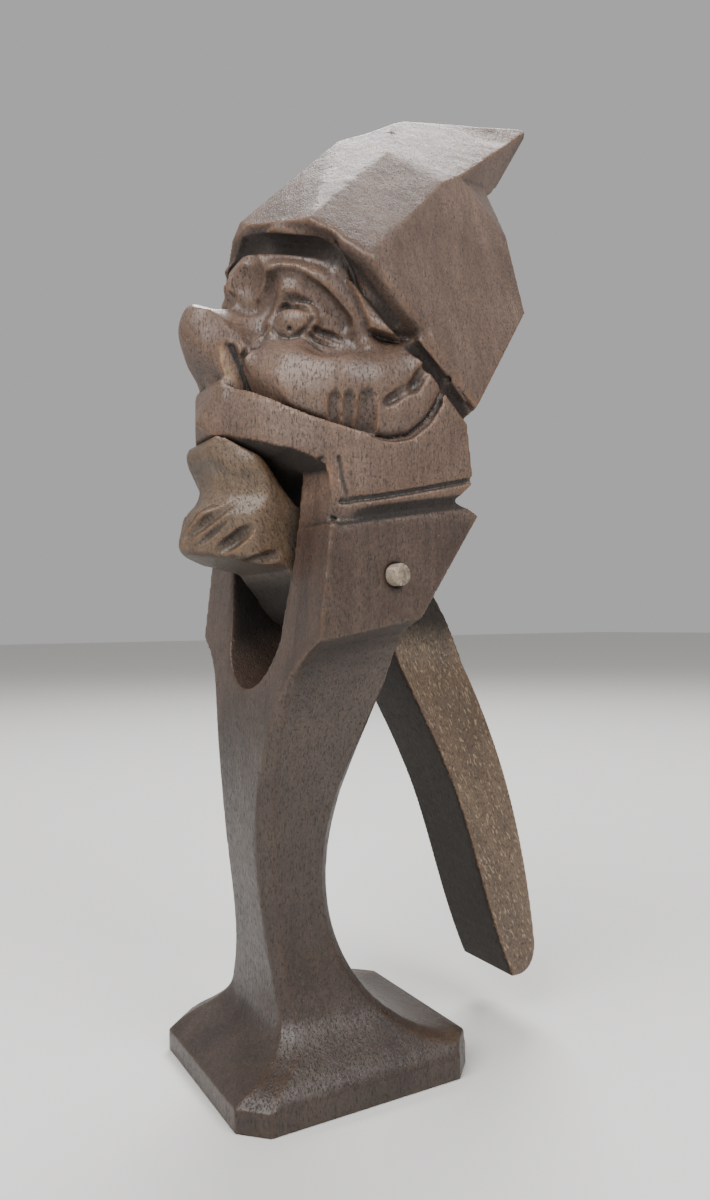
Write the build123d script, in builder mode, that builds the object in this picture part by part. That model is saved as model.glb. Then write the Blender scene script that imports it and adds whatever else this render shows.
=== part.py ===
from build123d import *
import os

# Carved gnome nutcracker, in millimetres.
# The figure looks along -Y and stands on Z = 0. +X is its left-hand side.
# The origin is the centre of the base's underside.

# Base plate
BASE_HALF_WIDTH = 31.2
BASE_HALF_DEPTH = 33.6
BASE_CORNER_CUT = 6.5
BASE_EDGE_FRONT = 5.6
BASE_EDGE_BACK = 9.0
CORNER_CUTTER_HEIGHT = 30.0
CORNER_CUTTER_SIDE = BASE_CORNER_CUT * 2**0.5
CORNER_CUTTER_TURN = 45

# Widths of torso and head
TORSO_HALF_WIDTH = 39.0
COLLAR_HALF_WIDTH = 38.8
FACE_HALF_WIDTH = 35.0
HAT_HALF_WIDTH = 40.0
BLOCK_REACH = 60.0
PLAN_REACH = 90.0
PLAN_HEIGHT = 300.0

# Pivot
PIVOT_Y = 4.2
PIVOT_Z = 131.7
PIN_DIAMETER = 5.6
PIN_PROUD = 2.0
PIN_END_CHAMFER = 0.6
LEVER_BORE_DIAMETER = 5.75

# Slot through torso and head: a round-bottomed groove that rises towards the back
SLOT_BOTTOM_RADIUS = 17.3
SLOT_TOP_HALF_WIDTH = 20.4
SLOT_CENTRE_Z = 119.8
SLOT_FRONT_Y = -21.0
SLOT_SIDE_HEIGHT = 16.0
SLOT_HEIGHT = 75.0
SLOT_TILT = 6.0
SLOT_ROOF = [(-31.1, 169.4), (-14.8, 159.5), (6.0, 155.5), (40.0, 150.0)]
SLOT_FLOOR_Z = 90.0

# Side outline of base, leg and torso, as (y, z)
FRONT_FLARE = [(-BASE_HALF_DEPTH, BASE_EDGE_FRONT), (-27.7, 9.6), (-21.9, 12.8), (-18.5, 17.0), (-17.8, 22.0)]
LEG_FRONT = [(-17.8, 22.0), (-18.7, 36.1), (-21.4, 60.1), (-21.8, 82.0), (-17.1, 115.0)]
TORSO_TOP_FRONT = (-13.6, 143.8)
TORSO_TOP_BACK = (29.9, 147.5)
TORSO_LOW_BACK = (10.5, 119.0)
LEG_BACK = [(10.5, 116.0), (7.7, 93.5), (2.6, 75.3), (-0.3, 60.1), (1.3, 36.1), (9.5, 20.5)]
BACK_FLARE = [(9.5, 20.5), (18.1, 13.6), (27.0, 10.0), (BASE_HALF_DEPTH, BASE_EDGE_BACK)]

# Front outline of base, leg and torso, as (x, z)
SIDE_FLARE = [(BASE_HALF_WIDTH, BASE_EDGE_FRONT), (28.7, 9.2), (24.9, 12.6), (21.0, 16.5), (18.4, 21.0)]
SHOULDER_STEP = 1.0
LEG_SIDE = [(18.4, 21.0), (13.8, 36.1), (13.4, 60.1), (17.8, 84.0), (26.7, 106.0), (38.6, 115.6)]

# Side outline of neck, collar and head, as (y, z)
NECK_FRONT = (-9.6, 145.2)
NECK_BACK = (23.0, 151.2)
COLLAR_FRONT = (-12.3, 146.6)
COLLAR_BACK = (28.5, 156.0)
MOUTH_CORNER = (-14.8, 159.5)
UPPER_LIP_LOW = (-31.1, 169.4)
UPPER_LIP_FRONT = (-33.2, 172.7)
UNDER_NOSE = (-29.6, 183.5)
NOSE_ROOT = (-22.0, 203.0)
BROW = (-24.5, 212.0)
FOREHEAD = (-17.0, 224.0)
CROWN = (0.0, 213.0)
NAPE = (26.3, 176.1)

# Plan of the left-hand half of collar, face, nose and jaw, as (x, y)
COLLAR_PLAN = [(38.8, 0.0), (36.6, -9.5), (27.0, -21.0), (13.5, -28.2), (0.0, -33.2)]
FACE_PLAN = [(35.0, 8.0), (31.0, -3.0), (21.5, -14.5), (11.0, -21.5), (0.0, -29.6)]
NOSE_PLAN = [(10.5, -15.0), (10.5, -25.5), (4.5, -35.2), (0.0, -36.6)]
JAW_PLAN = [(18.6, -23.5), (12.5, -29.5), (5.5, -35.4), (0.0, -38.7)]
FACE_BOTTOM_Z = 177.0

# Nose, as (y, z)
NOSE_HALF_WIDTH = 10.5
NOSE = [
    (-20.0, 204.0),
    (-27.5, 201.8),
    (-33.9, 204.4),
    (-36.6, 198.6),
    (-35.6, 192.6),
    (-29.3, 185.5),
    (-20.0, 184.0),
]

# Ears: a crescent of wood on each side of the head
EAR_Y = 14.0
EAR_Z = 182.0
EAR_RADIUS = 13.0
EAR_WIDTH = 6.5
EAR_START = 195.0
EAR_SWEEP = 150.0
EAR_PROUD = 2.4

# Hat corners on the left-hand side, as (x, y, z)
BRIM_FRONT = (0.0, -20.0, 229.7)
BRIM_CORNER = (28.0, -12.2, 222.2)
BRIM_SIDE = (40.0, -1.7, 210.1)
BRIM_BACK = (40.0, 30.1, 177.1)
RIDGE = (0.0, 10.8, 260.0)
RIDGE_DIP = (0.0, 20.6, 264.3)
PEAK = (0.0, 34.0, 272.2)
BEVEL_TOP = (11.0, 26.5, 259.7)
TOP_CORNER_FRONT = (25.8, 29.8, 241.1)
TOP_CORNER_BACK = (23.2, 39.4, 243.2)
BACK_UPPER = (22.0, 54.4, 232.5)
BACK_LOWER = (26.8, 56.9, 208.7)
BACK_MIDDLE = (0.0, 68.0, 224.0)
BACK_UNDER = (0.0, 50.0, 188.0)
NOTCH = (0.0, 68.0, 258.3)
TIP_TOP = (0.0, 78.6, 281.4)
TIP_LOW = (0.0, 80.6, 278.7)
TIP_SIDE = (2.0, 79.0, 279.0)
TIP_ROOT = (12.0, 55.7, 257.2)
TIP_BURIED = (0.0, 28.0, 230.0)
BRIM_THICKNESS = 3.3
BACK_REACH = (70.0, 268.0)
CAP_CENTRE = (0.0, 25.0, 220.0)
TIP_CENTRE = (0.0, 55.0, 262.0)

# Lever side outline, as (y, z): jaw and beard, pivot boss, handle
JAW_LIP_TOP = (-31.2, 168.4)
JAW_LIP_FRONT = (-33.1, 165.6)
BEARD_HOLLOW = (-31.2, 157.0)
BEARD_TIP = (-38.7, 140.0)
BEARD_LOW = (-35.6, 137.8)
BEARD_BACK = (-14.5, 134.2)
BOSS_FRONT = (-9.2, 127.4)
BOSS_BOTTOM = (3.5, 117.3)
HANDLE_INNER = [(15.5, 119.8), (29.0, 94.5), (41.0, 69.5), (50.4, 41.0), (60.4, 13.6)]
HANDLE_TIP = [(60.4, 13.6), (66.6, 14.8), (69.4, 22.0)]
HANDLE_OUTER = [(69.4, 22.0), (64.3, 53.7), (57.1, 78.4), (46.4, 102.8), (32.6, 125.5), (17.0, 143.5)]
BOSS_TOP = (7.0, 147.0)
NUT_SEAT = [(-1.5, 146.6), (-12.5, 150.2), (-20.8, 162.2)]

# Lever front outline, as (x, z)
JAW_HALF_WIDTH = 18.6
BEARD_HALF_WIDTH = 17.0
BOSS_HALF_WIDTH = 15.2
HANDLE_HALF_WIDTH = 12.2
JAW_LOW_Z = 150.0
BEARD_LOW_Z = 134.0
BOSS_LOW_Z = 121.0
HANDLE_TOP_Z = 108.0
LEVER_TOP_Z = 175.0


def mirrored(point):
    """The same point on the other side of the mid-plane."""
    return (-point[0], point[1], point[2])


def flat(point, drop=0.0):
    """A hat corner as it falls on the mid-plane, (y, z), lowered by drop."""
    return (point[1], point[2] - drop)


def facet(p, q, r, centre):
    """The plane through three points, facing away from centre."""
    origin = Vector(*p)
    along = Vector(*q) - origin
    normal = along.cross(Vector(*r) - origin)
    if normal.dot(Vector(*centre) - origin) > 0:
        normal = normal * -1
    return Plane(origin=origin, x_dir=along, z_dir=normal)


def whittled(outline, corners, centre):
    """A board with the given side outline, cut back to each facet and its mirror image."""
    with BuildPart() as board:
        with BuildSketch(Plane.YZ):
            with BuildLine():
                Polyline(*outline, close=True)
            make_face()
        extrude(amount=HAT_HALF_WIDTH, both=True)
        for p, q, r in corners:
            split(bisect_by=facet(p, q, r, centre), keep=Keep.BOTTOM)
            split(bisect_by=facet(mirrored(p), mirrored(q), mirrored(r), centre), keep=Keep.BOTTOM)
    return board.part


def plan_prism(front):
    """An upright prism whose plan's left-hand front runs along the given points."""
    side_x = front[0][0]
    with BuildPart() as prism:
        with BuildSketch(Plane.XY):
            with BuildLine():
                Polyline(front[-1], (0, PLAN_REACH), (side_x, PLAN_REACH), front[0])
                Spline(*front)
            make_face()
            mirror(about=Plane.YZ)
        extrude(amount=PLAN_HEIGHT)
    return prism.part


os.makedirs("parts", exist_ok=True)

# Hat: a faceted cap with a folded tip
cap = whittled(
    [
        flat(BRIM_FRONT),
        flat(RIDGE),
        flat(RIDGE_DIP),
        flat(PEAK),
        BACK_REACH,
        flat(BACK_MIDDLE),
        flat(BACK_UNDER),
        flat(BRIM_BACK, BRIM_THICKNESS),
        flat(BRIM_SIDE, BRIM_THICKNESS),
        flat(BRIM_CORNER, BRIM_THICKNESS),
        flat(BRIM_FRONT, BRIM_THICKNESS),
    ],
    [
        (BRIM_FRONT, BRIM_CORNER, RIDGE),
        (BRIM_CORNER, BEVEL_TOP, RIDGE),
        (BRIM_CORNER, BRIM_SIDE, TOP_CORNER_FRONT),
        (BRIM_SIDE, BRIM_BACK, TOP_CORNER_FRONT),
        (PEAK, TOP_CORNER_FRONT, TIP_TOP),
        (TOP_CORNER_BACK, BACK_UPPER, NOTCH),
        (BACK_UPPER, BACK_LOWER, BACK_MIDDLE),
        (BRIM_BACK, BACK_LOWER, BACK_UNDER),
    ],
    CAP_CENTRE,
)
hat_tip = whittled(
    [flat(PEAK), flat(TIP_TOP), flat(TIP_LOW), flat(NOTCH), flat(TIP_BURIED)],
    [
        (BRIM_CORNER, BRIM_SIDE, TOP_CORNER_FRONT),
        (BRIM_SIDE, BRIM_BACK, TOP_CORNER_FRONT),
        (PEAK, TOP_CORNER_FRONT, TIP_TOP),
        (TIP_SIDE, TIP_ROOT, NOTCH),
    ],
    TIP_CENTRE,
)

# Plans that round the front of collar, face, nose and jaw
collar_prism = plan_prism(COLLAR_PLAN)
face_prism = plan_prism(FACE_PLAN)
nose_prism = plan_prism(NOSE_PLAN)
jaw_prism = plan_prism(JAW_PLAN)

# Collar with the upper jaw, and the face above it
with BuildPart() as collar:
    with BuildSketch(Plane.YZ):
        with BuildLine():
            Polyline(
                TORSO_TOP_FRONT,
                NECK_FRONT,
                COLLAR_FRONT,
                MOUTH_CORNER,
                UPPER_LIP_LOW,
                UPPER_LIP_FRONT,
                UNDER_NOSE,
                NAPE,
                COLLAR_BACK,
                NECK_BACK,
                TORSO_TOP_BACK,
                close=True,
            )
        make_face()
    extrude(amount=COLLAR_HALF_WIDTH, both=True)
    add(collar_prism, mode=Mode.INTERSECT)

with BuildPart() as face:
    with BuildSketch(Plane.YZ):
        with BuildLine():
            Polyline(
                (UNDER_NOSE[0], FACE_BOTTOM_Z),
                UNDER_NOSE,
                NOSE_ROOT,
                BROW,
                FOREHEAD,
                CROWN,
                (NAPE[0], FACE_BOTTOM_Z),
                close=True,
            )
        make_face()
    extrude(amount=FACE_HALF_WIDTH, both=True)
    add(face_prism, mode=Mode.INTERSECT)

with BuildPart() as nose:
    with BuildSketch(Plane.YZ):
        with BuildLine():
            Polyline(*NOSE, close=True)
        make_face()
    extrude(amount=NOSE_HALF_WIDTH, both=True)
    add(nose_prism, mode=Mode.INTERSECT)

# Slot for the lever, open at the front and at the back
slot_plane = Plane(origin=(0, SLOT_FRONT_Y, SLOT_CENTRE_Z), x_dir=(-1, 0, 0), z_dir=(0, 1, 0))
with BuildPart() as slot:
    with BuildSketch(slot_plane.rotated((SLOT_TILT, 0, 0))):
        with BuildLine():
            Polyline(
                (SLOT_BOTTOM_RADIUS, 0),
                (SLOT_TOP_HALF_WIDTH, SLOT_SIDE_HEIGHT),
                (SLOT_TOP_HALF_WIDTH, SLOT_HEIGHT),
                (-SLOT_TOP_HALF_WIDTH, SLOT_HEIGHT),
                (-SLOT_TOP_HALF_WIDTH, SLOT_SIDE_HEIGHT),
                (-SLOT_BOTTOM_RADIUS, 0),
            )
            ThreePointArc((-SLOT_BOTTOM_RADIUS, 0), (0, -SLOT_BOTTOM_RADIUS), (SLOT_BOTTOM_RADIUS, 0))
        make_face()
    extrude(amount=BLOCK_REACH, both=True)
    with BuildSketch(Plane.YZ):
        with BuildLine():
            Polyline(
                (-BLOCK_REACH, SLOT_FLOOR_Z),
                (-BLOCK_REACH, SLOT_ROOF[0][1]),
                *SLOT_ROOF,
                (SLOT_ROOF[-1][0], SLOT_FLOOR_Z),
                close=True,
            )
        make_face()
    extrude(amount=BLOCK_REACH, both=True, mode=Mode.INTERSECT)

# Body: base, leg, torso, head and hat are one block of wood
with BuildPart() as body:
    with BuildSketch(Plane.YZ):
        with BuildLine():
            Polyline((BASE_HALF_DEPTH, 0), (-BASE_HALF_DEPTH, 0), FRONT_FLARE[0])
            Spline(*FRONT_FLARE)
            Spline(*LEG_FRONT)
            Polyline(LEG_FRONT[-1], TORSO_TOP_FRONT, TORSO_TOP_BACK, TORSO_LOW_BACK, LEG_BACK[0])
            Spline(*LEG_BACK)
            Spline(*BACK_FLARE)
            Line(BACK_FLARE[-1], (BASE_HALF_DEPTH, 0))
        make_face()
    extrude(amount=TORSO_HALF_WIDTH, both=True)
    with BuildSketch(Plane.XZ):
        with BuildLine():
            Polyline((0, 0), (BASE_HALF_WIDTH, 0), SIDE_FLARE[0])
            Spline(*SIDE_FLARE)
            Spline(*LEG_SIDE)
            Polyline(
                LEG_SIDE[-1],
                (TORSO_HALF_WIDTH, LEG_SIDE[-1][1] + SHOULDER_STEP),
                (TORSO_HALF_WIDTH, CROWN[1]),
                (0, CROWN[1]),
                (0, 0),
            )
        make_face()
        mirror(about=Plane.YZ)
    extrude(amount=BLOCK_REACH, both=True, mode=Mode.INTERSECT)
    with BuildSketch(Plane.XY):
        with GridLocations(2 * BASE_HALF_WIDTH, 2 * BASE_HALF_DEPTH, 2, 2):
            Rectangle(CORNER_CUTTER_SIDE, CORNER_CUTTER_SIDE, rotation=CORNER_CUTTER_TURN)
    extrude(amount=CORNER_CUTTER_HEIGHT, mode=Mode.SUBTRACT)
    add(collar)
    add(face)
    add(cap)
    add(hat_tip)
    add(nose)
    for side in (1, -1):
        ear_plane = Plane(
            origin=(side * (FACE_HALF_WIDTH - EAR_PROUD), EAR_Y, EAR_Z),
            x_dir=(0, 1, 0),
            z_dir=(side, 0, 0),
        )
        with BuildSketch(ear_plane):
            with BuildLine() as ear_line:
                CenterArc((0, 0), EAR_RADIUS, side * EAR_START, side * EAR_SWEEP)
            SlotArc(ear_line.edges()[0], EAR_WIDTH)
        extrude(amount=2 * EAR_PROUD)
    add(slot, mode=Mode.SUBTRACT)
    with BuildSketch(Plane.YZ):
        with Locations((PIVOT_Y, PIVOT_Z)):
            Circle(PIN_DIAMETER / 2)
    extrude(amount=BLOCK_REACH, both=True, mode=Mode.SUBTRACT)

body.part.label = "body"
export_step(body.part, "parts/body.step")

# Lever: the jaw with its beard and the handle are one board
with BuildPart() as lever:
    with BuildSketch(Plane.YZ):
        with BuildLine():
            Polyline(
                NUT_SEAT[-1],
                JAW_LIP_TOP,
                JAW_LIP_FRONT,
                BEARD_HOLLOW,
                BEARD_TIP,
                BEARD_LOW,
                BEARD_BACK,
                BOSS_FRONT,
            )
            ThreePointArc(BOSS_FRONT, BOSS_BOTTOM, HANDLE_INNER[0])
            Spline(*HANDLE_INNER)
            Spline(*HANDLE_TIP)
            Spline(*HANDLE_OUTER)
            Polyline(HANDLE_OUTER[-1], BOSS_TOP, *NUT_SEAT)
        make_face()
        with Locations((PIVOT_Y, PIVOT_Z)):
            Circle(LEVER_BORE_DIAMETER / 2, mode=Mode.SUBTRACT)
    extrude(amount=JAW_HALF_WIDTH, both=True)
    with BuildSketch(Plane.XZ):
        with BuildLine():
            Polyline(
                (0, 0),
                (HANDLE_HALF_WIDTH, 0),
                (HANDLE_HALF_WIDTH, HANDLE_TOP_Z),
                (BOSS_HALF_WIDTH, BOSS_LOW_Z),
                (BEARD_HALF_WIDTH, BEARD_LOW_Z),
                (JAW_HALF_WIDTH, JAW_LOW_Z),
                (JAW_HALF_WIDTH, LEVER_TOP_Z),
                (0, LEVER_TOP_Z),
                close=True,
            )
        make_face()
        mirror(about=Plane.YZ)
    extrude(amount=2 * BLOCK_REACH, both=True, mode=Mode.INTERSECT)
    add(jaw_prism, mode=Mode.INTERSECT)

lever.part.label = "lever"
export_step(lever.part, "parts/lever.step")

# Pivot pin: a wooden dowel held in the body
with BuildPart() as pivot_pin:
    with BuildSketch(Plane.YZ):
        with Locations((PIVOT_Y, PIVOT_Z)):
            Circle(PIN_DIAMETER / 2)
    extrude(amount=TORSO_HALF_WIDTH + PIN_PROUD, both=True)
    chamfer(pivot_pin.edges().filter_by(GeomType.CIRCLE), PIN_END_CHAMFER)

pivot_pin.part.label = "pivot_pin"
export_step(pivot_pin.part, "parts/pivot_pin.step")
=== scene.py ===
import math

import bpy
import numpy as np
import openvdb
from mathutils import Matrix, Vector


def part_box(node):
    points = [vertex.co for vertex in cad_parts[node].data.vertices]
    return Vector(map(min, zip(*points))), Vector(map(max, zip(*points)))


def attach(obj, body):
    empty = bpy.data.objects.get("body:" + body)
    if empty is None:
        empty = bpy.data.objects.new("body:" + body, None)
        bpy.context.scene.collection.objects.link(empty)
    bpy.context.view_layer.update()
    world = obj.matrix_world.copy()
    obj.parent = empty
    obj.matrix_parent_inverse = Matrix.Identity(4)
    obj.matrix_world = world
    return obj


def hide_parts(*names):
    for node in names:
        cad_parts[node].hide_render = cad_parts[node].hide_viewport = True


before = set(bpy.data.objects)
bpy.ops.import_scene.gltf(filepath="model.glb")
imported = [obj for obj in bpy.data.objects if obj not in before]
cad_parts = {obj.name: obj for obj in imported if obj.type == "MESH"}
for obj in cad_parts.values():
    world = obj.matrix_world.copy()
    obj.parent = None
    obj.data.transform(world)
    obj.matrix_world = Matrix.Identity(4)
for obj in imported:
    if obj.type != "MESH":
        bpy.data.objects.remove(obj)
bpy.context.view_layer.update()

# The carving is worked in millimetres on a signed distance field: negative inside the wood.
# Each field holds the half with x > 0, because the figure is symmetrical.
MM = 0.001
STEP = 0.48
BAND = 8.0
MARGIN = 3.0
EDGE_AND_HOLLOW_REACH = 0.6

# Pivot pin, as (y, z) in metres
PIN_PLACE = (0.0042, 0.1317)

# Colours of the wood's grain, worn edges and dirt, and of painted shade and painted shadow
PORE = (0.014, 0.009, 0.006, 1.0)
FLECK = (0.34, 0.25, 0.15, 1.0)
HOLLOW_DIRT_AND_SHADE = (0.006, 0.005, 0.004, 1.0)
THIN_STAIN = (0.17, 0.083, 0.036, 1.0)
BARE_WOOD = (0.38, 0.27, 0.165, 1.0)
NICK = (0.34, 0.27, 0.19, 1.0)
PAINTED_SHADE_COLOUR = (0.007, 0.005, 0.004, 1.0)
PIN_SHADOW = (0.012, 0.008, 0.006, 1.0)


def smooth_max(a, b, r):
    """The larger of two fields, with the crease between them rounded over about r."""
    h = np.maximum(r - np.abs(a - b), 0.0)
    return np.maximum(a, b) + h * h * (0.25 / r)


def smooth_min(a, b, r):
    """The smaller of two fields, with the crease between them filled over about r."""
    h = np.maximum(r - np.abs(a - b), 0.0)
    return np.minimum(a, b) - h * h * (0.25 / r)


def box_blur(field, cells):
    """A running mean over 2 * cells + 1 samples along each axis."""
    width = 2 * cells + 1
    for axis in range(3):
        pad = [(0, 0)] * 3
        pad[axis] = (cells + 1, cells)
        sums = np.cumsum(np.pad(field, pad, mode="edge"), axis=axis, dtype=np.float64)
        upper = np.take(sums, range(width, sums.shape[axis]), axis=axis)
        lower = np.take(sums, range(0, sums.shape[axis] - width), axis=axis)
        field = ((upper - lower) / width).astype(np.float32)
    return field


class Carving:
    """Half of a symmetrical piece of wood, cut and added to with strokes."""

    def __init__(self, node):
        low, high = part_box(node)
        self.low = np.array([0.5 * STEP, low[1] / MM - MARGIN, low[2] / MM - MARGIN])
        top = np.array([high[0], high[1], high[2]]) / MM + MARGIN
        self.counts = np.ceil((top - self.low) / STEP).astype(int) + 1
        self.axes = [self.low[i] + STEP * np.arange(self.counts[i]) for i in range(3)]
        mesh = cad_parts[node].data
        mesh.calc_loop_triangles()
        points = np.array([v.co for v in mesh.vertices]) / MM
        corners = np.array([t.vertices for t in mesh.loop_triangles], dtype=np.uint32)
        placed = ((points - self.low) / STEP).astype(np.float32)
        grid = openvdb.FloatGrid.createLevelSetFromPolygons(
            placed, triangles=corners, halfWidth=BAND / STEP
        )
        cells = np.zeros(self.counts, np.float32)
        grid.copyToArray(cells)
        self.field = cells * STEP

    def window(self, low, high):
        """The slices and coordinates of the samples between two corners."""
        spans = []
        grids = []
        for i in range(3):
            a = int(np.searchsorted(self.axes[i], low[i]))
            b = int(np.searchsorted(self.axes[i], high[i]))
            spans.append(slice(a, max(b, a + 1)))
            shape = [1, 1, 1]
            shape[i] = -1
            grids.append(self.axes[i][spans[i]].reshape(shape).astype(np.float32))
        return tuple(spans), grids

    def sample(self, points):
        """The field at scattered points, read between the samples."""
        p = (np.asarray(points, float) - self.low) / STEP
        p[:, 0] = np.maximum(p[:, 0], 0.0)
        p = np.clip(p, 0.0, self.counts - 1.001)
        i = p.astype(int)
        t = p - i
        total = np.zeros(len(p))
        for dx in (0, 1):
            for dy in (0, 1):
                for dz in (0, 1):
                    weight = (
                        (t[:, 0] if dx else 1 - t[:, 0])
                        * (t[:, 1] if dy else 1 - t[:, 1])
                        * (t[:, 2] if dz else 1 - t[:, 2])
                    )
                    total += weight * self.field[i[:, 0] + dx, i[:, 1] + dy, i[:, 2] + dz]
        return total

    def normals(self, points):
        """Outward directions at scattered points."""
        reach = 1.2 * STEP
        slopes = []
        for axis in range(3):
            shift = np.zeros(3)
            shift[axis] = reach
            slopes.append(self.sample(points + shift) - self.sample(points - shift))
        slopes = np.stack(slopes, -1)
        return slopes / np.maximum(np.linalg.norm(slopes, axis=1, keepdims=True), 1e-6)

    def settle(self, points):
        """Each point moved onto the surface, with the outward normal there."""
        for _ in range(3):
            normal = self.normals(points)
            points = points - normal * self.sample(points)[:, None]
        return points, self.normals(points)

    def merge(self, shape, low, high, blend, cut):
        """A shape added to the wood, or cut out of it, between two corners."""
        span, grids = self.window(low, high)
        here = self.field[span]
        there = shape(*grids).astype(np.float32)
        if cut:
            self.field[span] = smooth_max(here, -there, blend)
        else:
            self.field[span] = smooth_min(here, there, blend)

    def stroke(self, path, radius, depth, blend=0.4, lens=False, cut=True):
        """A gouge drawn along a path on the surface, or a ridge where cut is false.

        A lens stroke starts and ends above the surface, so that it tapers to a point.
        """
        path = np.array(path, float)
        runs = np.linalg.norm(np.diff(path, axis=0), axis=1)
        along = np.concatenate([[0.0], np.cumsum(runs)])
        count = max(3, int(along[-1] / max(0.5 * radius, 0.9)) + 2)
        at = np.linspace(0.0, along[-1], count)
        points = np.stack([np.interp(at, along, path[:, i]) for i in range(3)], -1)
        points, normal = self.settle(points)
        deep = np.full(count, float(depth))
        if lens:
            deep = depth * (1.6 * np.sin(math.pi * np.linspace(0, 1, count)) ** 0.8 - 0.6)
        sign = 1.0 if cut else -1.0
        centres = points + sign * normal * (radius - deep)[:, None]
        self.tube(centres, np.full(count, float(radius)), blend, cut)

    def tube(self, centres, radii, blend=0.5, cut=False, within=None, above=None):
        """A round bar through the given centres, added or cut away, kept above a line of (y, z).

        Its reach may be given as a pair of corners.
        """
        centres = np.array(centres, float)
        radii = np.array(radii, float)
        reach = radii.max() + blend + 2 * STEP
        low, high = within or (centres.min(0) - reach, centres.max(0) + reach)

        def shape(x, y, z):
            nearest = np.full(np.broadcast_shapes(x.shape, y.shape, z.shape), 1e3, np.float32)
            for a, b, ra, rb in zip(centres[:-1], centres[1:], radii[:-1], radii[1:]):
                d = b - a
                length = max(float(d @ d), 1e-9)
                t = ((x - a[0]) * d[0] + (y - a[1]) * d[1] + (z - a[2]) * d[2]) / length
                t = np.clip(t, 0.0, 1.0)
                gap = (x - a[0] - t * d[0]) ** 2 + (y - a[1] - t * d[1]) ** 2
                gap = gap + (z - a[2] - t * d[2]) ** 2
                nearest = np.minimum(nearest, np.sqrt(gap) - (ra + t * (rb - ra)))
            if above is not None:
                nearest = np.maximum(nearest, np.interp(y, *np.transpose(above)).astype(np.float32) - z)
            return nearest

        self.merge(shape, low, high, blend, cut)

    def block(self, planes, low, high, blend=0.4, cut=False):
        """The space behind every one of the planes, added or cut away."""

        def shape(x, y, z):
            deepest = None
            for point, normal in planes:
                n = np.array(normal, float)
                n = n / np.linalg.norm(n)
                d = (x - point[0]) * n[0] + (y - point[1]) * n[1] + (z - point[2]) * n[2]
                deepest = d if deepest is None else np.maximum(deepest, d)
            return deepest

        self.merge(shape, low, high, blend, cut)

    def soften(self, low, high, cells, feather=4.0):
        """Sharp forms between two corners are worn round, fading out towards the sides."""
        span, grids = self.window(low, high)
        weight = 1.0
        for axis, along in enumerate(grids):
            inside = np.minimum(along - low[axis], high[axis] - along) / feather
            if low[axis] == 0.0:
                inside = (high[axis] - along) / feather
            weight = weight * np.clip(inside, 0.0, 1.0)
        block = self.field[span]
        worn = box_blur(block, cells)
        self.field[span] = block + (worn - block) * weight.astype(np.float32)

    def mesh(self, name, painted_shade):
        """The carved surface of both halves, with its edge and hollow measure and its painted shade on
        each vertex.
        """
        whole = np.concatenate([self.field[::-1], self.field], 0)
        low = self.low.copy()
        low[0] = self.low[0] - STEP * self.counts[0]
        grid = openvdb.FloatGrid(BAND / STEP)
        grid.copyFromArray(whole / STEP, tolerance=0.0)
        points, triangles, quads = grid.convertToPolygons(isovalue=0.0, adaptivity=0.02)
        places = points * STEP + low
        bend = self.field
        for _ in range(2):
            bend = box_blur(bend, max(1, round(EDGE_AND_HOLLOW_REACH / STEP)))
        bend = bend - self.field
        half = np.abs(places)
        half[:, 1:] = places[:, 1:]
        sharp = self.read(bend, half)
        faces = [tuple(int(i) for i in f[::-1]) for f in quads]
        faces += [tuple(int(i) for i in f[::-1]) for f in triangles]
        mesh = bpy.data.meshes.new(name)
        mesh.from_pydata((places * MM).tolist(), [], faces)
        mesh.update()
        edge = mesh.attributes.new("wear_and_hollow_shade", "FLOAT", "POINT")
        edge.data.foreach_set("value", sharp.astype(np.float32))
        shade = mesh.attributes.new("painted_shade", "FLOAT", "POINT")
        shade.data.foreach_set("value", painted_shade(half, self.normals(half)).astype(np.float32))
        piece = bpy.data.objects.new(name, mesh)
        bpy.context.scene.collection.objects.link(piece)
        for polygon in mesh.polygons:
            polygon.use_smooth = True
        return piece

    def read(self, values, points):
        """Another field on the same grid, read at scattered points."""
        kept = self.field
        self.field = values
        result = self.sample(points)
        self.field = kept
        return result


# Materials
def add_node(tree, kind, settings=None, inputs=None):
    """A node with its settings made and its inputs linked or set."""
    made = tree.nodes.new(kind)
    for key, value in (settings or {}).items():
        setattr(made, key, value)
    for key, value in (inputs or {}).items():
        if isinstance(value, bpy.types.NodeSocket):
            tree.links.new(value, made.inputs[key])
        else:
            made.inputs[key].default_value = value
    return made


def ramp(tree, value, stops):
    """A colour ramp from (position, brightness) stops."""
    made = add_node(tree, "ShaderNodeValToRGB", inputs={"Fac": value})
    elements = made.color_ramp.elements
    while len(elements) < len(stops):
        elements.new(0.5)
    for element, (position, brightness) in zip(elements, stops):
        element.position = position
        element.color = (brightness, brightness, brightness, 1.0)
    return made.outputs["Color"]


def noise(tree, vector, scale, detail=4.0, roughness=0.55, distortion=0.0):
    made = add_node(
        tree,
        "ShaderNodeTexNoise",
        inputs={
            "Vector": vector,
            "Scale": scale,
            "Detail": detail,
            "Roughness": roughness,
            "Distortion": distortion,
        },
    )
    return made.outputs["Fac"]


def stretch(tree, vector, turn=(0.0, 0.0, 0.0), scale=(1.0, 1.0, 1.0)):
    """Coordinates turned about the origin or drawn out along an axis."""
    made = add_node(tree, "ShaderNodeMapping", inputs={"Vector": vector, "Rotation": turn, "Scale": scale})
    return made.outputs[0]


def mix(tree, factor, first, second, blend="MIX"):
    made = add_node(tree, "ShaderNodeMix", {"data_type": "RGBA", "blend_type": blend})
    for socket, value in zip(("Factor_Float", "A_Color", "B_Color"), (factor, first, second)):
        target = next(i for i in made.inputs if i.identifier == socket)
        if isinstance(value, bpy.types.NodeSocket):
            tree.links.new(value, target)
        else:
            target.default_value = value
    return next(o for o in made.outputs if o.identifier == "Result_Color")


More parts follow.
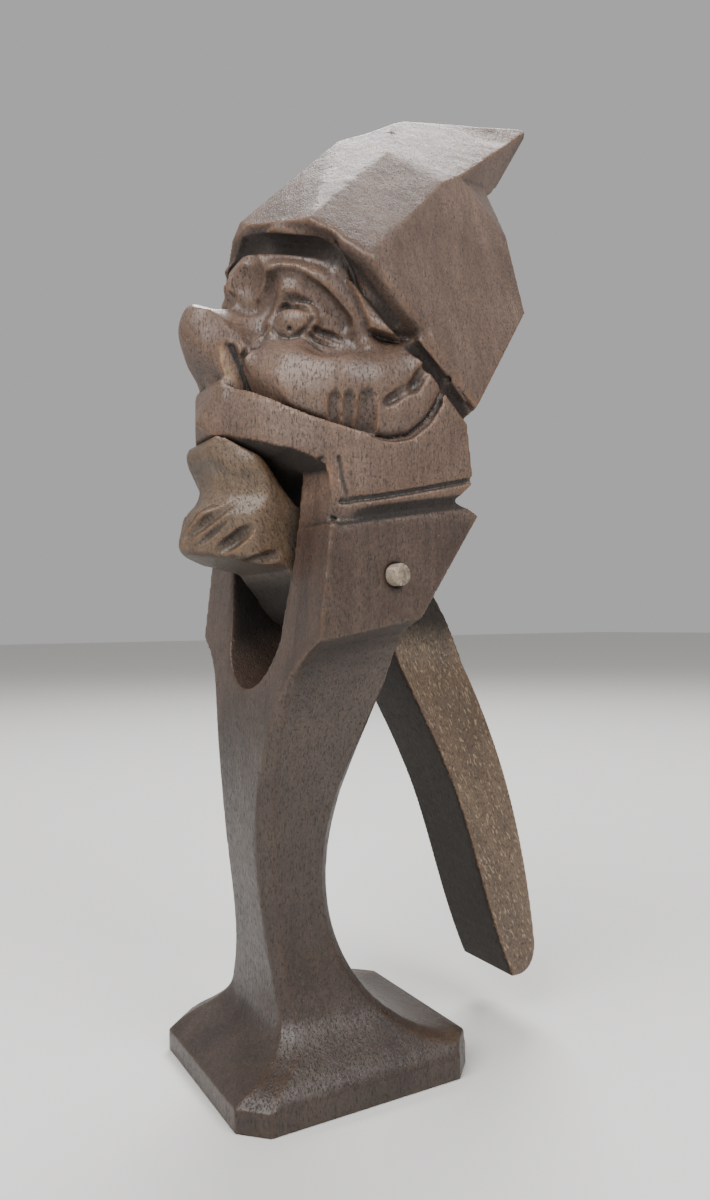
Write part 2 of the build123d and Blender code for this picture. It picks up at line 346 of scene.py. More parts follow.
def maths(tree, operation, first, second=0.0, third=0.0):
    made = add_node(tree, "ShaderNodeMath", {"operation": operation})
    for target, value in zip(made.inputs, (first, second, third)):
        if isinstance(value, bpy.types.NodeSocket):
            tree.links.new(value, target)
        else:
            target.default_value = value
    return made.outputs[0]


def bumps(tree, strength, distance, height):
    made = add_node(
        tree, "ShaderNodeBump", inputs={"Strength": strength, "Distance": distance, "Height": height}
    )
    return made.outputs["Normal"]


def stained_wood(name, grain_tilt, dark, mid, light, fleck, paint_shading=False):
    """Brown satin-stained wood whose grain runs along Z, tilted about X.

    With painted shading the wood is paler above the neck and darker below it, as painted shade, and a
    painted shadow rings the pivot pin.
    """
    material = bpy.data.materials.new(name)
    material.use_nodes = True
    tree = material.node_tree
    shader = tree.nodes["Principled BSDF"]
    place = add_node(tree, "ShaderNodeTexCoord").outputs["Object"]
    turned = stretch(tree, place, turn=(grain_tilt, 0.0, 0.0))
    along = stretch(tree, turned, scale=(1.0, 1.0, 0.09))
    short = stretch(tree, turned, scale=(1.0, 1.0, 0.3))
    wear_and_hollow_shade = add_node(tree, "ShaderNodeAttribute", {"attribute_name": "wear_and_hollow_shade"}).outputs["Fac"]

    bands = ramp(tree, noise(tree, along, 75.0, 5.0, 0.6, 0.4), [(0.32, 0.0), (0.68, 1.0)])
    colour = mix(tree, bands, dark, mid)
    patches = ramp(tree, noise(tree, place, 32.0, 3.0, 0.6), [(0.38, 0.0), (0.7, 1.0)])
    colour = mix(tree, maths(tree, "MULTIPLY", patches, 0.55), colour, light)
    streaks = ramp(tree, noise(tree, along, 620.0, 3.0, 0.7), [(0.3, 0.62), (0.6, 1.08)])
    colour = mix(tree, 0.6, colour, streaks, "MULTIPLY")
    pores = ramp(tree, noise(tree, short, 2300.0, 2.0, 0.5), [(0.56, 0.0), (0.68, 1.0)])
    colour = mix(tree, maths(tree, "MULTIPLY", pores, 0.65), colour, PORE)
    speckle = ramp(tree, noise(tree, place, 1500.0, 3.0, 0.7), [(0.36, 0.62), (0.62, 1.25)])
    colour = mix(tree, 0.8, colour, speckle, "MULTIPLY")
    flecks = ramp(tree, noise(tree, short, 2000.0, 1.0, 0.4), [(0.61, 0.0), (0.70, 1.0)])
    height_up = add_node(tree, "ShaderNodeSeparateXYZ", inputs={"Vector": place}).outputs["Z"]
    flecks = maths(tree, "MULTIPLY", flecks, ramp(tree, height_up, [(0.11, 1.0), (0.135, 0.15)]))
    colour = mix(tree, maths(tree, "MULTIPLY", flecks, fleck), colour, FLECK)

    grime = ramp(tree, noise(tree, place, 260.0, 5.0, 0.7), [(0.35, 0.0), (0.62, 1.0)])
    # Dark in the hollows: partly dirt, partly painted shade in creases and gouges
    hollow = ramp(tree, maths(tree, "MULTIPLY", wear_and_hollow_shade, -4.5), [(0.06, 0.0), (0.9, 1.0)])
    colour = mix(tree, maths(tree, "MULTIPLY", hollow, 0.9), colour, HOLLOW_DIRT_AND_SHADE)
    thin = ramp(tree, wear_and_hollow_shade, [(0.02, 0.0), (0.16, 1.0)])
    warm = maths(tree, "MULTIPLY", thin, maths(tree, "MULTIPLY_ADD", grime, 0.5, 0.1))
    colour = mix(tree, warm, colour, THIN_STAIN)
    rubbed = ramp(tree, wear_and_hollow_shade, [(0.24, 0.0), (0.50, 1.0)])
    bare = maths(tree, "MULTIPLY", rubbed, maths(tree, "MULTIPLY", grime, 0.5))
    colour = mix(tree, bare, colour, BARE_WOOD)

    nicks = ramp(tree, noise(tree, place, 900.0, 2.0, 0.8), [(0.70, 0.0), (0.76, 1.0)])
    colour = mix(tree, maths(tree, "MULTIPLY", nicks, 0.5), colour, NICK)

    # Painted shade: the colour goes towards near-black where the vertex shade measure is high, in the
    # slot, mouth, grooves, round the pivot and under downward faces
    painted_shade = add_node(tree, "ShaderNodeAttribute", {"attribute_name": "painted_shade"}).outputs["Fac"]
    colour = mix(tree, maths(tree, "MULTIPLY", painted_shade, 0.88), colour, PAINTED_SHADE_COLOUR)

    if paint_shading:
        # Painted shadow: a dark ring round the pivot pin
        spread = add_node(tree, "ShaderNodeSeparateXYZ", inputs={"Vector": place})
        dy = maths(tree, "SUBTRACT", spread.outputs["Y"], PIN_PLACE[0])
        dz = maths(tree, "SUBTRACT", spread.outputs["Z"], PIN_PLACE[1])
        squares = maths(tree, "ADD", maths(tree, "MULTIPLY", dy, dy), maths(tree, "MULTIPLY", dz, dz))
        reach = maths(tree, "SQRT", squares)
        ring = ramp(tree, maths(tree, "MULTIPLY", reach, 100.0), [(0.31, 1.0), (0.40, 0.0)])
        colour = mix(tree, maths(tree, "MULTIPLY", ring, 0.85), colour, PIN_SHADOW)
        # Painted shade: the wood is darker from the neck down towards the bottom
        tone = ramp(tree, height_up, [(0.080, 0.31), (0.118, 0.50), (0.146, 0.54), (0.151, 1.0)])
        colour = mix(tree, 1.0, colour, tone, "MULTIPLY")

    tree.links.new(colour, shader.inputs["Base Color"])
    sheen = maths(tree, "MULTIPLY_ADD", noise(tree, place, 420.0, 4.0, 0.7), 0.24, 0.30)
    sheen = maths(tree, "MULTIPLY_ADD", painted_shade, 0.45, sheen)
    tree.links.new(maths(tree, "MULTIPLY_ADD", pores, 0.15, sheen), shader.inputs["Roughness"])
    shader.inputs["Specular IOR Level"].default_value = 0.5
    shader.inputs["Coat Weight"].default_value = 0.08
    shader.inputs["Coat Roughness"].default_value = 0.28

    height = maths(tree, "MULTIPLY", noise(tree, along, 620.0, 4.0, 0.7), 0.5)
    height = maths(tree, "MULTIPLY_ADD", noise(tree, place, 150.0, 4.0, 0.6), 1.6, height)
    height = maths(tree, "SUBTRACT", height, maths(tree, "MULTIPLY", pores, 0.45))
    height = maths(tree, "SUBTRACT", height, maths(tree, "MULTIPLY", nicks, 0.4))
    tree.links.new(bumps(tree, 0.9, 0.00028, height), shader.inputs["Normal"])
    return material


def pale_dowel(name):
    """Bare dowel whose grain is drawn out along its length, so that the ends show end grain, with dark
    specks.
    """
    material = bpy.data.materials.new(name)
    material.use_nodes = True
    tree = material.node_tree
    shader = tree.nodes["Principled BSDF"]
    place = add_node(tree, "ShaderNodeTexCoord").outputs["Object"]
    drawn = stretch(tree, place, scale=(0.1, 1.0, 1.0))
    tone = ramp(tree, noise(tree, drawn, 520.0, 4.0, 0.7), [(0.35, 0.0), (0.65, 1.0)])
    colour = mix(tree, tone, (0.10, 0.075, 0.055, 1.0), (0.34, 0.27, 0.20, 1.0))
    dirt = ramp(tree, noise(tree, drawn, 1500.0, 2.0, 0.6), [(0.55, 0.0), (0.66, 1.0)])
    colour = mix(tree, maths(tree, "MULTIPLY", dirt, 0.7), colour, (0.07, 0.05, 0.04, 1.0))
    tree.links.new(colour, shader.inputs["Base Color"])
    shader.inputs["Roughness"].default_value = 0.62
    tree.links.new(bumps(tree, 0.6, 0.0002, tone), shader.inputs["Normal"])
    return material


# Body
body = Carving("body")

# Chamfer width of the leg's edges, as (height, width)
CHAMFER_WIDTHS = [
    (0.0, 6.5), (7.0, 6.3), (10.0, 4.2), (14.0, 3.2), (20.0, 2.8), (36.0, 2.9),
    (60.0, 3.3), (75.0, 3.5), (93.0, 2.2), (106.0, 1.7), (113.0, 0.6),
]
LEG_TOP = 113.0


def chamfer_leg():
    """Long chamfers on the four edges, from the leg's own width and depth at each height."""
    span, (x, y, z) = body.window((0.0, -60.0, STEP), (60.0, 60.0, LEG_TOP))
    block = body.field[span]
    xs, ys, zs = x.ravel(), y.ravel(), z.ravel()
    front, back, side = [], [], []
    for k in range(len(zs)):
        rows = block[:, :, k].min(0)
        columns = block[:, :, k].min(1)
        a, b = np.nonzero(rows < 0)[0][[0, -1]]
        c = np.nonzero(columns < 0)[0][-1]
        front.append(ys[a] + rows[a])
        back.append(ys[b] - rows[b])
        side.append(xs[c] - columns[c])
    width = np.interp(zs, *np.transpose(CHAMFER_WIDTHS))
    depth = np.maximum(np.array(front) - y, y - np.array(back))
    shape = (depth + x - np.array(side) + width) * math.sqrt(0.5)
    body.field[span] = smooth_max(block, shape.astype(np.float32), 0.3)


chamfer_leg()

# Half width of the leg below the shoulder, as (height, half width)
SHOULDER = [
    (84.0, 18.0), (90.0, 19.7), (96.0, 21.8), (102.0, 24.4), (106.0, 26.8), (110.0, 30.2),
    (113.0, 33.9), (115.7, 39.2), (125.0, 60.0),
]
SHOULDER_FOOT = 84.0
SHOULDER_FRONT = -17.0
SHOULDER_CLIMB = 0.19


def slant_shoulder():
    """The flare from leg to torso ends on a line that climbs towards the back."""
    span, (x, y, z) = body.window((10.0, -30.0, SHOULDER_FOOT), (45.0, 20.0, 124.0))
    rising = np.clip((z - SHOULDER_FOOT) / 30.0, 0.0, 1.0)
    climb = SHOULDER_CLIMB * np.maximum(y - SHOULDER_FRONT, 0.0) * rising
    profile = np.interp(z - climb, *np.transpose(SHOULDER))
    shape = 0.72 * (x - profile)
    body.field[span] = smooth_max(body.field[span], shape.astype(np.float32), 0.3)


slant_shoulder()

# Front strips: each side of the slot the torso runs on up to the mouth, behind the collar's edge
STRIP_FACE = ((21.0, -13.6, 143.8), (0.10, -0.988, 0.12))
STRIP_TOP = ((0, -12.0, 158.0), (0, -0.25, 0.97))
STRIP_SIDE = ((34.2, 0, 146.0), (0.99, 0, 0.10))
STRIP_BACK = ((0, -5.0, 0), (0, 1, 0))
STRIP_FOOT = ((0, 0, 140.0), (0, 0, -1))
SLOT_SIDE = ((20.7, 0, 0), (-1, 0, 0))
BEFORE_STRIP = ((21.0, -13.6, 143.8), (-0.10, 0.988, -0.12))
COLLAR_SIDE = ((35.4, 0, 146.0), (0.99, 0, 0.10))
MOUTH_ROOF = ((0, -18.4, 162.3), (0, 0.53, 0.848))
NECK_LEVEL = ((0, 0, 144.4), (0, 0, -1))
COLLAR_BEVEL = ((35.4, -12.2, 160.0), (-0.5, 0.866, 0.083))
BEVEL_FOOT = ((0, 0, 146.2), (0, 0, -1))
BEVEL_TOP = ((0, 0, 160.2), (0, 0, 1))
body.block(
    [STRIP_FACE, STRIP_TOP, STRIP_SIDE, SLOT_SIDE, STRIP_BACK, STRIP_FOOT],
    (19.0, -18.0, 138.0), (38.0, -3.0, 161.0), blend=0.2,
)
body.block(
    [BEFORE_STRIP, COLLAR_SIDE, MOUTH_ROOF, NECK_LEVEL],
    (10.0, -30.0, 142.0), (38.0, -8.0, 163.0), blend=0.3, cut=True,
)
body.block(
    [COLLAR_BEVEL, BEVEL_FOOT, BEVEL_TOP],
    (33.6, -20.0, 144.0), (40.0, -6.0, 163.0), blend=0.2, cut=True,
)


def slope_cheek():
    """The step above the collar slopes back, so that the cheek can swell out of it."""
    level = int((171.0 - body.low[2]) / STEP)
    span, (x, y, z) = body.window((10.5, -45.0, 172.0), (45.0, 14.0, 194.0))
    outline = body.field[span[0], span[1], level : level + 1]
    slope = 0.88 * outline + 0.47 * (z - 178.5)
    body.field[span] = smooth_max(body.field[span], slope.astype(np.float32), 3.0)


slope_cheek()

# Line where the cheek and ear meet the lip and collar, as (y, z)
CHEEK_LINE = [
    (-30.0, 183.4), (-27.4, 181.6), (-26.3, 180.2), (-23.3, 176.9), (-19.5, 173.5),
    (-15.3, 170.8), (-11.2, 169.0), (-6.5, 167.4), (-1.0, 166.2), (4.0, 165.7),
    (9.5, 167.0), (14.5, 170.8), (18.6, 176.0), (21.6, 182.5), (22.5, 190.0),
]


# Underside of the brim beside the ear, as (y, z, fall)
BRIM_UNDER = (-1.7, 205.8, 1.0377)


def undercut_cheek():
    """Above the line the wood curves in underneath the cheek and the ear."""
    level = int((164.0 - body.low[2]) / STEP)
    span, (x, y, z) = body.window((10.0, -45.0, 164.0), (45.0, 22.5, 192.0))
    outline = body.field[span[0], span[1], level : level + 1]
    line = np.interp(y, *np.transpose(CHEEK_LINE)).astype(np.float32)
    for lean, rise in ((0.94, 4.6), (0.75, 2.7), (0.45, 1.5)):
        tuck = np.sqrt(1.0 - lean**2)
        shape = np.minimum(lean * outline - tuck * (z - line - rise), z - line)
        shape = np.minimum(shape, 0.7 * (BRIM_UNDER[1] - BRIM_UNDER[2] * (y - BRIM_UNDER[0]) - z))
        body.field[span] = smooth_max(body.field[span], shape.astype(np.float32), 0.6)


# Nose: the square block goes and a round nose takes its place
body.block(
    [((0, -30.8, 183.5), (0, 0.935, 0.355)), ((0, 0, 183.6), (0, 0, -1)), ((0, -20, 206.5), (0, 0, 1))],
    (0.0, -45.0, 183.0), (14.0, -16.0, 208.0), cut=True,
)
body.tube([(0.0, -30.0, 197.4), (0.0, -20.0, 198.0)], [6.5, 7.6], blend=2.0)
body.tube([(0.0, -32.7, 201.0), (2.0, -31.5, 199.5)], [3.3, 4.0], blend=3.0)
body.tube([(0.0, -30.6, 195.2), (4.2, -27.0, 193.6), (6.0, -22.0, 192.0)], [5.4, 5.6, 5.2], blend=3.0)
body.tube([(0.0, -28.6, 191.5), (3.6, -25.5, 189.5), (6.2, -22.0, 187.6)], [4.6, 4.8, 4.6], blend=2.5)
body.tube([(5.0, -26.4, 192.6), (8.4, -23.6, 191.0), (9.6, -20.0, 190.0)], [3.6, 3.6, 3.4], blend=2.0)
body.tube([(3.0, -26.0, 188.6), (7.4, -23.6, 187.6), (8.6, -20.0, 187.0)], [3.2, 3.0, 2.8], blend=2.0)
body.tube([(0.0, -25.2, 185.6), (6.2, -22.2, 185.4)], [3.8, 3.8], blend=2.0)
body.tube(
    [(11.2, -18.6, 194.0), (11.2, -20.0, 190.6), (10.6, -21.6, 187.0), (9.8, -22.8, 184.6)],
    [2.6, 3.0, 3.0, 2.6],
    blend=1.5,
)
body.tube([(9.4, -24.8, 191.8), (9.3, -25.4, 188.4), (8.8, -25.8, 185.6)], [2.8, 3.1, 2.7], blend=2.0)

# Face: sharp planes worn round before the features are cut
body.tube(
    [(9.0, -19.5, 186.5), (15.0, -16.8, 185.0), (21.4, -14.0, 183.5), (26.0, -10.5, 182.0),
     (29.8, -6.0, 180.8), (31.2, 0.5, 180.5), (30.2, 8.0, 181.5), (30.0, 14.0, 185.0)],
    [5.6, 6.6, 7.4, 7.4, 7.6, 7.8, 8.2, 8.0],
    blend=4.0,
)
body.block(
    [((38.8, 0, 0), (1, 0, 0)), ((0, 12.0, 0), (0, -1, 0)), ((0, 26.6, 0), (0, 1, 0)),
     ((40.0, 30.1, 174.6), (0, 0.72, 0.69)), ((0, 0, 170.0), (0, 0, -1)), ((20, 0, 0), (-1, 0, 0))],
    (18.0, 10.0, 163.0), (42.0, 33.0, 195.0),
)
FACE_WEAR = max(1, round(0.8 / STEP))
for _ in range(2):
    body.soften((8.0, -45.0, 166.0), (47.0, 26.0, 222.0), FACE_WEAR)
    body.soften((0.0, -45.0, 182.0), (12.0, 24.0, 222.0), FACE_WEAR)

undercut_cheek()

# Strokes of the gouge on the left-hand half: (path, tool radius, depth, blend, tapered)
BROAD_CUTS = [
    ([(12.5, -20.6, 203.5), (16.0, -18.0, 202.0), (21.0, -14.5, 201.0), (25.0, -10.8, 198.5),
      (28.0, -7.0, 194.0)], 7.0, 2.6, 2.0, False),
    ([(24.0, -12.0, 203.0), (28.5, -6.5, 198.5), (31.5, -2.0, 193.0)], 5.0, 1.2, 1.6, False),
    ([(8.8, -20.6, 218.0), (9.4, -22.4, 213.0), (10.2, -22.2, 207.6)], 4.6, 2.3, 0.5, False),
    ([(15.5, -17.5, 216.5), (21.0, -14.5, 214.5), (27.0, -9.5, 212.0)], 6.0, 1.5, 1.0, False),
    ([(4.4, -32.6, 202.4), (6.4, -28.4, 200.2), (8.6, -23.6, 199.2)], 9.0, 1.2, 0.9, False),
    ([(12.0, -20.8, 197.5), (12.2, -20.6, 191.5)], 3.0, 1.3, 1.0, False),
]
RIDGES = [
    ([(10.6, -21.8, 206.6), (13.2, -20.0, 208.0), (15.4, -18.7, 210.4), (18.1, -16.8, 211.6),
      (22.0, -14.0, 210.6), (25.0, -10.9, 208.6), (27.2, -8.0, 205.2), (28.8, -6.0, 200.5),
      (30.4, -3.6, 195.5), (32.4, 0.5, 190.0)], 2.4, 1.1, 1.6, False),
]
FINE_CUTS = [
    # Under the brow
    ([(4.4, -24.8, 208.4), (7.6, -23.6, 205.8), (10.6, -22.0, 204.6), (13.2, -20.2, 205.8),
      (15.4, -18.7, 208.4), (18.1, -16.8, 209.8), (21.6, -14.2, 208.8), (24.2, -11.2, 206.6),
      (26.2, -8.6, 203.4), (27.6, -7.0, 199.6), (29.2, -5.2, 195.4)], 2.6, 1.5, 0.8, False),
    # Upper lid, lower lid and pupil
    ([(15.0, -18.7, 199.0), (16.2, -17.9, 201.1), (18.4, -16.4, 202.4), (21.2, -14.6, 202.2),
      (23.6, -12.3, 200.4), (25.2, -10.5, 197.6)], 1.4, 2.2, 0.15, True),
    ([(15.6, -18.4, 197.2), (17.2, -17.3, 194.4), (19.8, -15.6, 192.8), (22.2, -13.8, 193.0),
      (24.2, -11.6, 195.2), (25.0, -10.6, 197.4)], 0.8, 0.6, 0.2, False),
    ([(19.9, -15.6, 195.2), (21.2, -14.8, 195.0)], 0.7, 0.9, 0.2, True),
    # Crow's feet
    ([(24.6, -11.0, 194.8), (26.8, -8.4, 193.8), (29.2, -5.4, 191.6)], 1.2, 1.2, 0.2, True),
    ([(23.8, -11.9, 193.5), (26.2, -9.1, 192.6), (28.8, -5.9, 190.8)], 0.8, 0.8, 0.2, True),
    ([(22.8, -13.0, 192.9), (25.2, -10.2, 191.6), (27.6, -7.5, 189.4)], 0.8, 0.8, 0.2, True),
    # Beside the bridge of the nose
    ([(15.2, -18.8, 198.6), (14.0, -19.5, 195.6), (12.4, -20.5, 192.4)], 1.6, 0.8, 0.2, True),
    ([(13.0, -20.2, 198.8), (12.2, -20.8, 196.0)], 1.0, 0.6, 0.2, True),
    # Nostril crease
    ([(13.0, -19.4, 193.2), (12.0, -20.2, 190.6), (10.8, -21.6, 187.4),
      (9.4, -23.0, 184.2)], 0.9, 0.5, 0.6, True),
    # Under the cheek and round the ear
    ([(38.2, -1.0, 166.6), (38.4, 4.0, 166.2), (38.4, 9.5, 167.6), (38.4, 14.5, 171.4),
      (38.4, 18.2, 176.4), (38.2, 21.0, 182.0)], 1.1, 1.0, 0.3, False),
    # Inside of the ear
    ([(38.4, 0.6, 173.2), (38.2, 4.4, 175.6), (37.6, 8.8, 178.6)], 1.5, 1.7, 0.15, True),
    ([(37.4, 6.8, 176.4), (37.2, 11.0, 179.6), (36.6, 16.2, 186.4)], 1.8, 2.0, 0.15, True),
    # Hair: front edge and the notch under the lock
    ([(30.6, -7.4, 214.5), (31.2, -4.1, 209.8), (31.8, -2.1, 205.0), (32.4, -0.2, 200.0),
      (33.0, 2.3, 193.8)], 0.9, 1.3, 0.2, False),
    ([(32.6, 1.8, 193.6), (34.2, 5.0, 193.2), (35.0, 8.2, 192.6)], 1.3, 1.5, 0.2, True),
    # Collar frame
    ([(37.2, -10.4, 160.0), (37.6, -9.6, 155.0), (38.0, -8.4, 150.2)], 0.8, 0.6, 0.15, False),
    ([(36.9, -9.6, 149.4), (38.6, -1.0, 150.6), (38.8, 12.0, 153.2),
      (38.8, 29.0, 156.9)], 0.8, 0.9, 0.15, False),
]
for path, radius, depth, blend, tapered in BROAD_CUTS:
    body.stroke(path, radius, depth, blend, tapered)
for path, radius, depth, blend, tapered in RIDGES:
    body.stroke(path, radius, depth, blend, tapered, cut=False)

# Eyeball under a heavy lid
body.stroke(
    [(13.8, -19.4, 200.0), (15.6, -18.3, 203.0), (18.4, -16.6, 204.8), (21.8, -14.4, 204.4),
     (24.6, -11.6, 202.0), (26.2, -9.4, 198.8)],
    2.0, 0.9, 1.2, cut=False,
)
body.tube([(17.6, -11.8, 197.4), (19.6, -10.4, 197.2)], [5.3, 5.3], blend=0.6)
for path, radius, depth, blend, tapered in FINE_CUTS:
    body.stroke(path, radius, depth, blend, tapered)

# Whiskers: three short gouges in front of the ear, as (place in plan, outward direction, tool radius),
# that deepen downwards, as (height, outward offset of the cut's deepest line)
WHISKERS = [
    ((35.9, -10.6), (0.90, -0.43), 1.8),
    ((37.3, -7.3), (0.94, -0.33), 1.7),
    ((38.4, -3.0), (0.99, -0.12), 3.0),
]
WHISKER_DIVE = [(176.0, 0.1), (174.4, -1.4), (171.4, -2.6), (167.0, -4.4)]
for (x, y), (out_x, out_y), radius in WHISKERS:
    dive = [(height, radius + deep) for height, deep in WHISKER_DIVE]
    centres = [(x + out_x * d, y + out_y * d, h) for h, d in dive]
    body.tube(centres, [radius] * len(dive), 0.2, True, above=CHEEK_LINE)

# Locks of hair: a flat lock on the temple, with fine cuts running down it
LOCK_FACE = ((35.4, 2.0, 0.0), (0.97, -0.24, 0.0))
LOCK_FRONT = ((0.0, -6.0, 210.4), (0.0, -0.927, -0.376))
LOCK_FOOT = ((0.0, 0.9, 193.6), (0.0, -0.229, -0.973))
LOCK_UNDER_BRIM = ((0.0, -1.7, 203.4), (0.0, 0.72, 0.694))
LOCK_INSIDE = ((20.0, 0.0, 0.0), (-1.0, 0.0, 0.0))
body.block(
    [LOCK_FACE, LOCK_FRONT, LOCK_FOOT, LOCK_UNDER_BRIM, LOCK_INSIDE],
    (20.0, -12.0, 186.0), (41.0, 18.0, 214.0), blend=0.4,
)
HAIR_LINES = 7
for i in range(HAIR_LINES):
    t = (i + 0.6) / HAIR_LINES
    top = (34.2 + 1.6 * t, -4.4 + 7.0 * t, 206.8 - 9.0 * t)
    foot = (35.2 + 2.2 * t, 1.4 + 9.0 * t, 194.4 - 2.0 * t)
    body.stroke([top, foot], 0.8, 0.6, 0.15, True)


def facet_hollow(ends, overrun, within):
    """A shallow trough along a flat facet, from (middle, half width, depth) at its two ends."""
    middles, normals = body.settle(np.array([end[0] for end in ends], float))
    radii = np.array([(half**2 + depth**2) / (2 * depth) for _, half, depth in ends])
    depths = np.array([end[2] for end in ends])
    centres = middles + normals * (radii - depths)[:, None]
    before, after = overrun
    step = centres[1] - centres[0]
    growth = radii[1] - radii[0]
    centres = [centres[0] - step * before, centres[1] + step * after]
    body.tube(centres, [radii[0] - growth * before, radii[1] + growth * after], 0.3, True, within)


# Hat: hollowed front and top, undercut brim and tip
facet_hollow(
    [((12.0, -8.6, 232.6), 12.6, 2.0), ((6.4, 8.0, 251.6), 7.6, 1.1)],
    (0.6, 0.8),
    ((0.0, -25.0, 215.0), (30.0, 50.0, 286.0)),
)
facet_hollow(
    [((12.9, 33.6, 257.0), 17.0, 1.7), ((6.6, 56.0, 268.6), 10.0, 0.8)],
    (0.6, 0.3),
    ((0.0, 5.0, 236.0), (30.0, 84.0, 286.0)),
)
BRIM_GROOVE = [
    (0.0, -18.6, 222.9), (8.0, -18.0, 221.2), (15.0, -15.6, 218.8), (25.0, -9.6, 215.6),
    (30.6, -7.4, 211.6), (34.6, -2.9, 205.6), (36.6, 8.4, 193.1), (38.0, 18.2, 182.8),
    (38.2, 27.6, 172.9),
]
GROOVE_RADII = [2.8, 2.8, 2.7, 2.5, 2.1, 1.8, 1.8, 1.8, 1.8]
body.tube(BRIM_GROOVE, GROOVE_RADII, blend=0.3, cut=True)
body.tube(
    [(0.0, -21.8, 222.5), (8.0, -20.8, 220.8), (15.0, -18.6, 218.6), (24.0, -13.0, 215.8)],
    [2.9, 2.9, 2.8, 2.4], blend=0.5, cut=True,
)
body.tube([(16.0, 66.0, 249.0), (0.0, 70.0, 255.5)], [3.4, 4.2], blend=0.3, cut=True)

# Neck groove
NECK_GROOVE = [(39.6, -11.0, 145.2), (39.6, 10.0, 148.6), (39.6, 30.0, 151.6)]
NECK_RADII = [1.9, 1.9, 1.9]
body.tube(NECK_GROOVE, NECK_RADII, blend=0.3, cut=True)


def body_painted_shade(points, normals):
    """Painted shade inside the slot and mouth, on downward-facing surfaces and in the grooves of brim and
    neck.
    """
    x, y, z = points.T
    inside = np.clip((20.9 - np.abs(x)) / 0.5, 0, 1) * np.clip((y + 17.0) / 3.0, 0, 1)
    inside = inside * np.clip((z - 114.0 - 0.25 * y) / 6.0, 0, 1) * np.clip((166.0 - z) / 4.0, 0, 1)
    under = 0.55 * np.clip((-normals[:, 2] - 0.35) / 0.4, 0, 1)
    mouth = np.clip((y + 34.0) / 8.0, 0, 1) * np.clip((z - 156.0) / 2.0, 0, 1)
    mouth = mouth * np.clip((170.0 - z) / 3.0, 0, 1)
    mouth = mouth * np.clip((-normals[:, 2] - 0.2) / 0.3, 0, 1) * np.clip((36.5 - x) / 1.0, 0, 1)
    gap = np.full(len(points), 1e3)
    for path, radii in ((np.array(BRIM_GROOVE), GROOVE_RADII), (np.array(NECK_GROOVE), NECK_RADII)):
        for a, b, radius in zip(path[:-1], path[1:], radii):
            along = b - a
            t = np.clip((points - a) @ along / (along @ along), 0.0, 1.0)
            gap = np.minimum(gap, np.linalg.norm(points - a - t[:, None] * along, axis=1) - radius)
    groove = 0.9 * np.clip((0.45 - gap) / 0.4, 0, 1)
    return np.max([inside, under, mouth, groove], axis=0)


def lever_painted_shade(points, normals):
    """Painted shade round the pivot, on the inner side of the handle and on downward-facing surfaces."""
    x, y, z = points.T
    boss = np.clip((y + 15.0) / 3.0, 0, 1) * np.clip((z - 112.0) / 8.0, 0, 1)
    inner = np.clip((-normals[:, 1] - 0.35) / 0.3, 0, 1) * np.clip((y - 12.0) / 4.0, 0, 1)
    under = 0.6 * np.clip((-normals[:, 2] - 0.3) / 0.4, 0, 1)
    return np.maximum(np.maximum(boss, inner), under)


piece = body.mesh("carved_body", body_painted_shade)
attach(piece, "figure")
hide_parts("body")
piece.data.materials.append(stained_wood(
    "figure_wood",
    grain_tilt=0.0,
    dark=(0.062, 0.034, 0.023, 1.0),
    mid=(0.140, 0.083, 0.058, 1.0),
    light=(0.205, 0.136, 0.100, 1.0),
    fleck=0.12,
    paint_shading=True,
))

# Lever
HANDLE_TILT = math.radians(-26.0)
lever = Carving("lever")
BEARD_WEAR = max(1, round(1.5 / STEP))
for _ in range(2):
    lever.soften((0.0, -45.0, 130.0), (25.0, -12.0, 167.0), BEARD_WEAR, feather=5.0)
LEVER_CUTS = [
    ([(0.0, -31.6, 154.0), (8.0, -29.6, 154.0), (15.5, -23.0, 154.0)], 8.0, 1.9, 1.0, False),
    ([(0.6, -38.0, 139.8), (3.4, -36.6, 143.0), (8.6, -32.6, 147.0),
      (14.6, -26.6, 151.6)], 1.7, 1.5, 0.2, True),
    ([(4.2, -36.6, 139.2), (8.6, -33.2, 142.6), (13.8, -28.0, 147.6)], 1.0, 0.8, 0.2, True),
    ([(1.0, -36.8, 143.8), (4.0, -34.2, 148.0), (8.4, -31.0, 151.4)], 0.9, 0.7, 0.2, True),
    ([(8.8, -32.6, 137.4), (13.2, -28.6, 140.8), (17.6, -22.6, 145.6)], 2.0, 2.0, 0.2, True),
    ([(12.6, -26.2, 134.8), (15.4, -22.4, 136.6), (17.2, -16.4, 138.0)], 1.9, 1.9, 0.2, True),
]
for path, radius, depth, blend, tapered in LEVER_CUTS:
    lever.stroke(path, radius, depth, blend, tapered)
handle = lever.mesh("carved_lever", lever_painted_shade)
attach(handle, "lever")
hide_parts("lever")
handle.data.materials.append(stained_wood(
    "lever_wood",
    grain_tilt=HANDLE_TILT,
    dark=(0.054, 0.031, 0.017, 1.0),
    mid=(0.118, 0.073, 0.042, 1.0),
    light=(0.175, 0.118, 0.072, 1.0),
    fleck=0.6,
))

